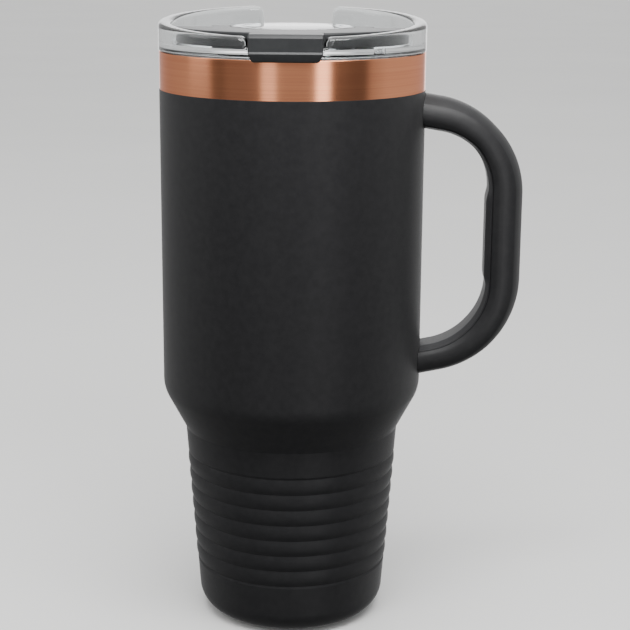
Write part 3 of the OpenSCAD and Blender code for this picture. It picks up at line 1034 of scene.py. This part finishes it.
@dataclass
class Lid:
    """Clear press-in lid with a sloping rim, two gaps, a deck, a hub and a plug.

    Attributes:
        wall: thickness of the rim wall.
        deck: height of the deck's top.
        deck_t: thickness of the deck.
        front: height of the rim at the drinking side.
        gap: half width of the gaps at their floor.
        flare: extra half width of the back gap at its top.
        edge: edge radius of the rim.
        sill: edge radius, and height, of the gaps' floors.
        corner: radius of the rim's corners at the gaps.
        hub: radius of the hub.
        plug: outer and inner radius of the plug.
        spout: x, y, width and depth of the drinking hole.
        vent: x, y and radius of the vent hole.
        pin: inner X, outer X and radius of a hinge pin.
        bore: radius of the holes for the pins.
        block: half depth of the hub's pin blocks.
        seal: inner radius of the plug's ring and radius over its lips.
    """

    wall: float = 5.05
    deck: float = 226.0
    deck_t: float = 2.0
    front: float = 230.5
    gap: float = 13.8
    flare: float = 1.0
    edge: float = 1.7
    sill: float = 1.0
    corner: float = 2.8
    hub: float = 22.5
    plug: tuple = (45.6, 43.0)
    spout: tuple = (0.0, -34.0, 24.0, 9.0)
    vent: tuple = (27.0, -17.0, 2.0)
    pin: tuple = (17.6, 28.9, 1.25)
    bore: float = 1.3
    block: float = 3.2
    seal: tuple = (44.6, 46.0)

    def __post_init__(self) -> None:
        """Reads the lid's outer sizes from the frame."""
        self.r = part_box("lid_body")[1].x / MM
        self.back = top_of("lid_body")
        self.base = top_of("rim_band") + 0.2
        self.low = foot_of("lid_body")

    def rim_at(self, angle: Array) -> Array:
        """Height of the sloping rim plane over a point of the wall at an angle from +X."""
        return (self.front + self.back) / 2 + (self.back - self.front) / 2 * np.sin(angle)

    def outline(self) -> tuple:
        """Top outline of the wall, unrolled, starting at the middle of the back gap.

        Returns:
            Points (distance round, height), and the angles that the base of
            each point keeps so that no two of them cross.
        """
        mid = self.r - self.wall / 2
        floor = self.deck + self.sill
        side = self.gap / mid
        wide = (self.gap + self.flare) / mid
        turn = math.pi / 2
        keep = 5.0 / mid

        def stretch(a0: float, a1: float) -> list:
            """Points of the sloping rim between two angles.

            Args:
                a0: first angle.
                a1: last angle.

            Returns:
                Points (distance round, height).
            """
            a = np.linspace(a0 + keep, a1 - keep, 56)
            return np.stack([a * mid, self.rim_at(a)], 1).tolist()

        points, radii, anchors = [], [], []
        half_turns = ((turn, wide, side), (turn + math.pi, side, wide))
        for start, near, far in half_turns:
            end = start + math.pi
            points += [(start * mid, floor), ((start + side) * mid, floor),
                       ((start + near) * mid, float(self.rim_at(start + near)))]
            radii += [0, 0.8, self.corner]
            rim = stretch(start + near, end - far)
            points += rim
            radii += [0] * len(rim)
            points += [((end - far) * mid, float(self.rim_at(end - far))), ((end - side) * mid, floor)]
            radii += [self.corner, 0.8]
            anchors += [start, start + side, (start + end) / 2, end - side]
        points.append(((turn + 2 * math.pi) * mid, floor))
        radii.append(0)
        path = fillet_path(points, radii, False, 9)
        run = distance_run(path)
        angle = path[:, 0] / mid
        anchors.append(turn + 2 * math.pi)

        def nearest(a: float) -> float:
            """Distance run where an angle is anchored: on the floor by a gap, on the rim elsewhere.

            Args:
                a: the angle.

            Returns:
                Distance along the outline.
            """
            by_gap = abs((a - turn) % math.pi - math.pi / 2) > 0.3
            off = 0.02 * np.abs(path[:, 1] - floor) * by_gap
            return run[np.argmin(np.abs(angle - a) + off)]

        at = [run[0], *(nearest(a) for a in anchors[1:-1]), run[-1]]
        return path, np.interp(run, at, anchors)

    def body(self) -> Surface:
        """The lid as one closed grid, from the deck's middle over the rim to the plug and back.

        Across the wall the top edge is two quarter circles: the outline moved
        inwards by r (1 - sin t) while the radius moves by r (1 - cos t).

        Returns:
            The surface, closed.
        """
        path, base = self.outline()
        path, base = path[:-1], base[:-1]
        mid = self.r - self.wall / 2
        r_in = self.r - self.wall
        normal = offset_normals(path, False)
        lift = np.clip((path[:, 1] - self.deck - self.sill) / 1.5, 0, 1)
        round_r = self.sill + (self.edge - self.sill) * lift
        rows = []

        def ring(radius: Array, angle: Array, height: Array) -> None:
            """Adds one row of the grid."""
            rows.append(np.stack([radius * np.cos(angle), radius * np.sin(angle), height + 0 * angle], 1))

        for r in np.linspace(0, r_in - 0.01, 7):
            ring(r, base, self.deck)
        t = np.linspace(0, np.pi / 2, 8)
        inset = [round_r * (1 - math.sin(v)) for v in t]
        shift = [round_r * (1 - math.cos(v)) for v in t]
        inner = [(path[:, 0] - normal[:, 0] * d, path[:, 1] - normal[:, 1] * d, r_in + e)
                 for d, e in zip(inset, shift)]
        outer = [(u, z, self.r - (rad - r_in)) for u, z, rad in inner[::-1]]
        for s in np.linspace(0, 1, 7)[:-1]:
            ring(r_in, base + (inner[0][0] / mid - base) * s, self.deck + (inner[0][1] - self.deck) * s)
        for u, z, rad in inner + outer:
            ring(rad, u / mid, z)
        foot = self.deck - 0.6
        last = outer[-1]
        for s in np.linspace(0, 1, 7)[1:]:
            ring(self.r, last[0] / mid + (base - last[0] / mid) * s, last[1] + (foot - last[1]) * s)
        plug, tube = self.plug
        groove = self.low + 1.6
        under = fillet_path(
            [(self.r, foot - 0.4), (self.r, self.base), (plug, self.base), (plug, groove + 3.4),
             (plug - 1, groove + 3.4), (plug - 1, groove), (plug, groove), (plug, self.low), (tube, self.low),
             (tube, self.deck - self.deck_t), (0, self.deck - self.deck_t)],
            [0, 0.5, 0.4, 0.15, 0.1, 0.1, 0.15, 0.7, 0.7, 1.0, 0])
        for r, z in under:
            ring(r, base, z)
        return Surface.grid(np.stack(rows), False, True)

    def hub_ring(self) -> Surface:
        """The hub's round wall, standing on the deck.

        Returns:
            The surface, closed.
        """
        low, high, r = self.deck + 0.02, top_of("hub_cap") - 0.92, self.hub
        points = [(r - 2, low), (r, low), (r, high), (r - 2, high)]
        return revolve(fillet_path(points, [0.1, 0.1, 0.2, 0.2], True), segments=128, closed=True)

    def hub_cap(self) -> Surface:
        """Round cap with a soft edge and one shallow ring.

        Returns:
            The surface, closed.
        """
        r, high = self.hub, top_of("hub_cap")
        low = high - 0.9
        points = [(0, low), (r, low), (r, high), (r - 3.0, high), (r - 3.3, high - 0.25),
                  (r - 3.9, high - 0.25), (r - 4.2, high), (0, high)]
        return revolve(fillet_path(points, [0, 0.2, 0.5, 0.2, 0.15, 0.15, 0.2, 0]), 160)

    def gasket(self) -> Surface:
        """Silicone ring with two soft lips.

        Returns:
            The surface, closed.
        """
        low, high = foot_of("lid_gasket"), top_of("lid_gasket")
        root, tip = self.seal
        points = [(root, low), (tip - 0.2, low + 0.15), (tip, low + 0.7), (root + 1.1, low + 1.3),
                  (root + 1.1, high - 1.3), (tip, high - 0.7), (tip - 0.2, high - 0.15), (root, high)]
        profile = fillet_path(points, [0.1, 0.2, 0.2, 0.4, 0.4, 0.2, 0.2, 0.1], True)
        return revolve(profile, segments=160, closed=True)

    def make(self, wardrobe: Wardrobe) -> None:
        """Builds and dresses the lid.

        Args:
            wardrobe: what dresses the pieces.
        """
        self.make_shell(wardrobe)
        axis = hinge_height()
        self.make_hub(wardrobe, axis)
        wardrobe.new_piece(put("plug_ring", self.gasket()), RUBBER, Body.LID, "lid_gasket")
        pins = None
        for side in (-1, 1):
            low, high = sorted((side * self.pin[0], side * self.pin[1]))
            r = self.pin[2]
            profile = fillet_path([(0, low), (r, low), (r, high), (0, high)], [0, 0.25, 0.25, 0])
            pin = along_x(revolve(profile, 40))
            pins = pin if pins is None else pins.joined(pin)
        pins.verts[:, 2] += axis
        wardrobe.new_piece(put("flap_pins", pins), BRIGHT, Body.LID, "hinge_pins")

    def make_shell(self, wardrobe: Wardrobe) -> None:
        """Builds the clear lid and cuts its drinking and vent holes.

        Args:
            wardrobe: what dresses the pieces.
        """
        body = put("lid_shell", self.body(), 50)
        low, high = self.deck - 5, self.deck + 0.5
        spout = rounded_slab(slot_outline(*self.spout), low, high, 0.1, 0.1)
        combine(body, spout, Join.CUT, 50)
        x, y, r = self.vent
        vent = rounded_slab(slot_outline(x, y, 2 * r + 0.001, 2 * r), low, high, 0.1, 0.1)
        combine(body, vent, Join.CUT, 50)
        wardrobe.new_piece(body, GLAZE, Body.LID, "lid_body")

    def make_hub(self, wardrobe: Wardrobe, axis: float) -> None:
        """Builds the hub's ring with its two bored pin blocks, and the cap over it.

        Args:
            wardrobe: what dresses the pieces.
            axis: height of the hinge's axis.
        """
        hub = put("lid_hub", self.hub_ring())
        high = top_of("hub_cap") - 0.95
        for side in (-1, 1):
            x = side * (self.hub - 3.3)
            b, hole = self.block, self.bore
            corners = [(x - 3, -b), (x + 3, -b), (x + 3, b), (x - 3, b)]
            outline = fillet_path(corners, [0.5] * 4, True, 20)
            combine(hub, rounded_slab(outline, self.deck + 0.05, high, 0.1, 0.3), Join.ADD)
            profile = np.array([(0, x - 4), (hole, x - 4), (hole, x + 5), (0, x + 5)])
            bore = along_x(revolve(profile, segments=48))
            bore.verts[:, 2] += axis
            combine(hub, bore, Join.CUT)
        wardrobe.new_piece(hub, GLAZE, Body.LID)
        wardrobe.new_piece(put("lid_hub_cap", self.hub_cap()), GLAZE, Body.LID, "hub_cap")


# --------------------------------------------------------------------------
# The flap
# --------------------------------------------------------------------------


@dataclass
class Flap:
    """Flip flap: a D-shaped plate round the hub, two hinge arms and a hooked tab.

    Attributes:
        r: radius of the round front edge.
        thick: thickness of the plate.
        back: Y of the straight back edge.
        inner: radius of the cut-out round the hub.
        arm: inner and outer X of a hinge arm.
        tab: half width of the tab.
        face: Y of the tab's front face.
        lip: thickness of the hooked lip.
        ridge: height of the crease across the tab's face.
        narrow: how much narrower the lip's end is on each side.
        root: Y where the tab ends inside the plate.
        skirt: thickness of the rim that runs down to the lid's deck.
    """

    r: float = 43.8
    thick: float = 3.5
    back: float = -7.0
    inner: float = 22.9
    arm: tuple = (23.1, 30.5)
    tab: float = 13.1
    face: float = -52.6
    lip: float = 1.8
    ridge: float = 225.3
    narrow: float = 1.7
    root: float = -42.2
    skirt: float = 1.6

    def __post_init__(self) -> None:
        """Reads the flap's heights from the frame."""
        self.top = top_of("flap")
        self.low = self.top - self.thick
        self.end = foot_of("flap")
        self.axis = hinge_height()

    def plate(self) -> Surface:
        """The D-shaped plate: an arc of the flap's radius closed by a straight back edge.

        Returns:
            The surface, closed.
        """
        tip = math.asin(-self.back / self.r)
        a = np.linspace(math.pi + tip, 2 * math.pi - tip, 90)
        front = np.stack([self.r * np.cos(a), self.r * np.sin(a)], 1).tolist()
        outline = fillet_path(front, [1.2] + [0] * 88 + [1.2], True, 12)
        return rounded_slab(outline, self.low, self.top, 0.4, 0.7)

    def arm_piece(self, side: int) -> Surface:
        """A hinge arm, running back from the plate beside the hub.

        Args:
            side: 1 towards +X, -1 towards -X.

        Returns:
            The surface, closed.
        """
        x0, x1 = sorted((side * self.arm[0], side * self.arm[1]))
        corners = [(x0, self.back - 4), (x1, self.back - 4), (x1, 0.3), (x0, 0.3)]
        return rounded_slab(fillet_path(corners, [0.8] * 4, True, 12), self.low, self.top - 0.01, 0.4, 0.7)

    def hub_cut(self) -> Surface:
        """What is cut away round the hub: a cylinder that widens at the plate's faces.

        Returns:
            The surface, closed.
        """
        r, w = self.inner + 0.35, 0.5
        points = [(0, self.low - 2), (r + w, self.low - 2), (r + w, self.low), (r, self.low + w),
                  (r, self.top - w), (r + w, self.top), (r + w, self.top + 2), (0, self.top + 2)]
        return revolve(fillet_path(points, [0, 0, 0.3, 0.5, 0.5, 0.3, 0, 0]), 160)

    def skirt_piece(self) -> Surface:
        """The thin rim under the plate's round front edge.

        Returns:
            The surface, closed.
        """
        low = Lid.deck + 0.4
        tip = math.asin((1.0 - self.back) / self.r)
        a = np.linspace(math.pi + tip, 2 * math.pi - tip, 90)
        ring = np.stack([np.cos(a), np.sin(a)], 1)
        outline = np.concatenate([ring * (self.r - 0.02), ring[::-1] * (self.r - self.skirt)])
        return rounded_slab(outline, low, self.low + 1.0, 0.3, 0.1)

    def tab_piece(self) -> Surface:
        """The tab: a section in Y and Z carried across X.

        Towards each side the section shrinks towards its middle by a quarter
        circle, which rounds the side edges.  Below the ridge the sides come in
        evenly at first and then with the fourth power of the drop, which rounds
        the lip's lower corners.

        Returns:
            The surface, closed.
        """
        f, t = self.face, self.lip
        section = fillet_path(
            [(self.root, self.low), (f + t, self.low), (f + t, self.end), (f + 0.95, self.end),
             (f, self.ridge - 0.35), (f + 0.5, self.ridge + 0.35), (f + 0.55, self.top - 1.3),
             (f + 1.5, self.top), (self.root, self.top)],
            [0, 0.8, 0.4, 0.7, 0.3, 0.35, 0.5, 0.5, 0], True, 10)
        inward = -offset_normals(section, True)
        edge = 0.5
        q = np.linspace(0, np.pi / 2, 6)
        across = np.concatenate([-self.tab + edge * (1 - np.cos(q)), self.tab - edge * (1 - np.cos(q[::-1]))])
        inset = np.concatenate([edge * (1 - np.sin(q)), edge * (1 - np.sin(q[::-1]))])
        yz = section[None] + inward[None] * inset[:, None, None]
        drop = np.clip((self.ridge - yz[..., 1]) / (self.ridge - self.end), 0, 1)
        x = across[:, None] * (1 - self.narrow * (0.55 * drop + 0.45 * drop**4) / self.tab)
        surface = Surface.grid(np.stack([x, yz[..., 0], yz[..., 1]], -1), False, True)
        m = len(section)
        surface.caps = [list(range(m))[::-1], list(range((len(across) - 1) * m, len(across) * m))]
        return surface

    def knuckle(self, side: int) -> Surface:
        """Round end of a hinge arm.

        Args:
            side: 1 towards +X, -1 towards -X.

        Returns:
            The surface, closed.
        """
        r = self.top - self.axis
        x0, x1 = sorted((side * self.arm[0], side * self.arm[1]))
        profile = fillet_path([(0, x0), (r, x0), (r, x1), (0, x1)], [0, 0.35, 0.35, 0])
        part = along_x(revolve(profile, 64))
        part.verts[:, 2] += self.axis
        return part

    def bore(self, side: int) -> Surface:
        """Hole for a hinge pin.

        Args:
            side: 1 towards +X, -1 towards -X.

        Returns:
            The surface, closed.
        """
        x0, x1 = sorted((side * (self.arm[0] - 0.5), side * 29.3))
        r = Lid.bore
        part = along_x(revolve(np.array([(0, x0), (r, x0), (r, x1), (0, x1)]), segments=48))
        part.verts[:, 2] += self.axis
        return part

    def make(self, wardrobe: Wardrobe) -> None:
        """Builds and dresses the flap with its two plugs.

        Args:
            wardrobe: what dresses the pieces.
        """
        plate = put("flap_plate", self.plate(), 30)
        for side in (-1, 1):
            combine(plate, self.arm_piece(side), Join.ADD, 30)
        combine(plate, self.hub_cut(), Join.CUT, 30)
        combine(plate, self.skirt_piece(), Join.ADD, 30)
        combine(plate, self.tab_piece(), Join.ADD, 30)
        for side in (-1, 1):
            combine(plate, self.knuckle(side), Join.ADD, 30)
            combine(plate, self.bore(side), Join.CUT, 30)
        wardrobe.new_piece(plate, SATIN, Body.FLAP, "flap")
        lid = Lid()
        x, y, w, d = lid.spout
        tip, root = foot_of("spout_seal"), self.low - 0.5
        pad = rounded_slab(slot_outline(x, y, w + 3, d + 3), tip + 1.8, self.low, 0.5, 0.1)
        plug = rounded_slab(slot_outline(x, y, w - 1.8, d - 1.8), tip, root, 0.7, 0.1)
        seal = put("spout_plug", pad)
        combine(seal, plug, Join.ADD)
        wardrobe.new_piece(seal, RUBBER, Body.FLAP, "spout_seal")
        x, y, r = lid.vent
        head = rounded_slab(slot_outline(x, y, 2 * r + 2, 2 * r + 1.999), lid.deck + 0.3, self.low, 0.4, 0.1)
        nub = rounded_slab(slot_outline(x, y, 2 * r - 0.8, 2 * r - 0.801), lid.deck - 1, root, 0.4, 0.1)
        vent = put("vent_nub", head)
        combine(vent, nub, Join.ADD)
        wardrobe.new_piece(vent, RUBBER, Body.FLAP, "vent_plug")


# --------------------------------------------------------------------------
# The studio
# --------------------------------------------------------------------------


@dataclass
class Studio:
    """Camera, pale floor and soft light.

    Attributes:
        distance: camera's distance from the mug's axis in metres.
        height: camera's height in metres.
        azimuth: direction of the camera in degrees, 0 in front, towards +X.
        tilt: downward tilt in degrees.
        yaw: turn to the right of the axis in degrees.
        roll: anticlockwise roll of the camera in degrees.
        lens: focal length in millimetres on a 36 mm sensor.
        bands: brightness round the horizon by azimuth in degrees.
        layers: brightness by height, as the sine of the elevation.
        blend: how far the layers take over from the bands, by height.
        panels: name, place in metres, size in metres and power in watts of each lamp.
    """

    distance: float = 0.6
    height: float = 0.266
    azimuth: float = 2.8
    tilt: float = 13.69
    yaw: float = 0.87
    roll: float = 0.39
    lens: float = 89.8
    bands: tuple = ((-180, 3.0), (-168, 2.6), (-160, 0.7), (-128, 0.55), (-95, 0.64), (-72, 0.58),
                    (-68, 0.2), (-59, 0.2), (-54, 0.3), (-25, 0.3), (-22, 1.7), (-12, 1.7), (-10, 0.5),
                    (22, 0.5), (24, 4.2), (33, 4.2), (35.5, 0.16), (67, 0.16), (73, 0.55), (90, 0.8),
                    (128, 0.8), (160, 0.7), (168, 2.6), (180, 3.0))
    layers: tuple = ((-1, 0.3), (-0.7, 0.25), (0.5, 0.9), (1, 1.2))
    blend: tuple = ((-1, 1), (-0.7, 1), (-0.45, 0), (0.25, 0), (0.5, 1), (1, 1))
    panels: tuple = (("top_panel", (0.1, -0.2, 1.5), (1.6, 1.2), 12.0),
                     ("left_panel", (-1.6, -0.2, 0.9), (0.7, 1.4), 5.0),
                     ("near_panel", (0.03, -0.17, 0.38), (0.3, 0.08), 1.1))

    def camera(self) -> None:
        """Places the camera and makes it the scene's."""
        data = bpy.data.cameras.new("camera")
        data.lens, data.sensor_width = self.lens, 36.0
        data.clip_start, data.clip_end = 0.01, 60.0
        cam = bpy.data.objects.new("camera", data)
        bpy.context.scene.collection.objects.link(cam)
        a = math.radians(self.azimuth)
        cam.location = (self.distance * math.sin(a), -self.distance * math.cos(a), self.height)
        cam.rotation_mode = "QUATERNION"
        roll = Quaternion((0, 0, 1), math.radians(self.roll))
        cam.rotation_quaternion = self.aim().to_track_quat("-Z", "Y") @ roll
        bpy.context.scene.camera = cam

    def aim(self) -> Vector:
        """Direction in which the camera looks.

        Returns:
            The direction.
        """
        a = math.radians(self.azimuth - self.yaw)
        t = math.radians(self.tilt)
        return Vector((-math.sin(a) * math.cos(t), math.cos(a) * math.cos(t), -math.sin(t)))

    def floor(self) -> None:
        """A wide pale floor."""
        a = np.linspace(-12, 12, 25) * 1000
        x, y = np.meshgrid(a, a)
        surface = Surface.grid(np.stack([x, y, 0 * x - 0.02], -1), False, False)
        faces = surface.faces()
        mesh = bpy.data.meshes.new("floor")
        mesh.from_pydata((surface.verts * MM).tolist(), [], faces)
        obj = bpy.data.objects.new("floor", mesh)
        bpy.context.scene.collection.objects.link(obj)
        book = Book("floor_paint")
        book.tint(book.spread(book.noise((3, 3, 3)), 0, 1), (0.8, 0.8, 0.79), (0.83, 0.83, 0.82))
        book.set(Roughness=0.8, Specular_IOR_Level=0.2)
        mesh.materials.append(book.material)
        obj.visible_glossy = False
        obj.visible_diffuse = False

    def sky(self) -> None:
        """Soft light from all round: upright bands round the horizon under a bright top."""
        world = bpy.data.worlds.new("studio")
        bpy.context.scene.world = world
        world.use_nodes = True
        tree = world.node_tree
        tree.nodes.clear()
        link = tree.links.new

        def add(kind: str, **values: object) -> bpy.types.Node:
            """Adds a node and sets its properties.

            Args:
                kind: type of the node.
                values: its properties.

            Returns:
                The node.
            """
            node = tree.nodes.new(kind)
            for key, value in values.items():
                setattr(node, key, value)
            return node

        def mixed(factor: Socket, a: Socket, b: Socket) -> Socket:
            """Goes from one colour to another by a factor.

            Args:
                factor: 0 for the first, 1 for the second.
                a: the first.
                b: the second.

            Returns:
                The mixed colour.
            """
            node = add("ShaderNodeMix", data_type="RGBA")
            link(factor, node.inputs["Factor"])
            link(a, node.inputs[6])
            link(b, node.inputs[7])
            return node.outputs[2]

        split = add("ShaderNodeSeparateXYZ")
        link(add("ShaderNodeTexCoord").outputs["Generated"], split.inputs[0])
        flip = add("ShaderNodeMath", operation="MULTIPLY")
        flip.inputs[1].default_value = -1.0
        link(split.outputs["Y"], flip.inputs[0])
        turn = add("ShaderNodeMath", operation="ARCTAN2")
        link(split.outputs["X"], turn.inputs[0])
        link(flip.outputs[0], turn.inputs[1])
        span = add("ShaderNodeMapRange")
        span.inputs["From Min"].default_value = -math.pi
        span.inputs["From Max"].default_value = math.pi
        link(turn.outputs[0], span.inputs["Value"])
        around = add("ShaderNodeValToRGB")
        self.fill(around.color_ramp, self.bands, 360.0, 180.0)
        link(span.outputs["Result"], around.inputs["Fac"])
        height = add("ShaderNodeMapRange")
        height.inputs["From Min"].default_value = -1.0
        link(split.outputs["Z"], height.inputs["Value"])
        upright = add("ShaderNodeValToRGB")
        self.fill(upright.color_ramp, self.layers, 2.0, 1.0)
        link(height.outputs["Result"], upright.inputs["Fac"])
        share = add("ShaderNodeValToRGB")
        self.fill(share.color_ramp, self.blend, 2.0, 1.0)
        link(height.outputs["Result"], share.inputs["Fac"])
        light = mixed(share.outputs["Color"], around.outputs["Color"], upright.outputs["Color"])
        seen = add("ShaderNodeRGB")
        seen.outputs[0].default_value = (0.75, 0.75, 0.75, 1)
        colour = mixed(add("ShaderNodeLightPath").outputs["Is Camera Ray"], light, seen.outputs[0])
        back = add("ShaderNodeBackground")
        link(colour, back.inputs["Color"])
        link(back.outputs[0], add("ShaderNodeOutputWorld").inputs["Surface"])

    def fill(self, ramp: bpy.types.ColorRamp, stops: tuple, span: float, start: float) -> None:
        """Sets a ramp from stops of (place, brightness).

        Args:
            ramp: the ramp.
            stops: places and brightnesses, in order.
            span: difference between the last place and the first.
            start: what is added to a place so that the first is 0.
        """
        ramp.interpolation = "LINEAR"
        for place, value in stops[1:-1]:
            ramp.elements.new((place + start) / span).color = (value, value, value, 1)
        for i in (0, -1):
            ramp.elements[i].color = (stops[i][1],) * 3 + (1,)

    def lamp(self, name: str, place: tuple, size: tuple, power: float) -> None:
        """An area light that faces the mug.

        Args:
            name: the light's name.
            place: position in metres.
            size: width and height in metres.
            power: power in watts.
        """
        data = bpy.data.lights.new(name, "AREA")
        data.shape, data.size, data.size_y, data.energy = "RECTANGLE", *size, power
        obj = bpy.data.objects.new(name, data)
        bpy.context.scene.collection.objects.link(obj)
        obj.location = place
        aim = Vector((0, 0, 0.13)) - Vector(place)
        obj.rotation_mode = "QUATERNION"
        obj.rotation_quaternion = aim.to_track_quat("-Z", "Y")
        obj.visible_camera = False

    def make(self) -> None:
        """Sets up the whole studio."""
        self.camera()
        self.floor()
        self.sky()
        for panel in self.panels:
            self.lamp(*panel)


def main() -> None:
    """Builds the mug piece by piece and the studio round it."""
    logging.basicConfig(level=logging.INFO, format="%(name)s %(message)s")
    wardrobe = Wardrobe()
    Studio().make()
    Cup().make(wardrobe)
    Handle().make(wardrobe)
    Lid().make(wardrobe)
    Flap().make(wardrobe)


if __name__ == "__main__":
    main()
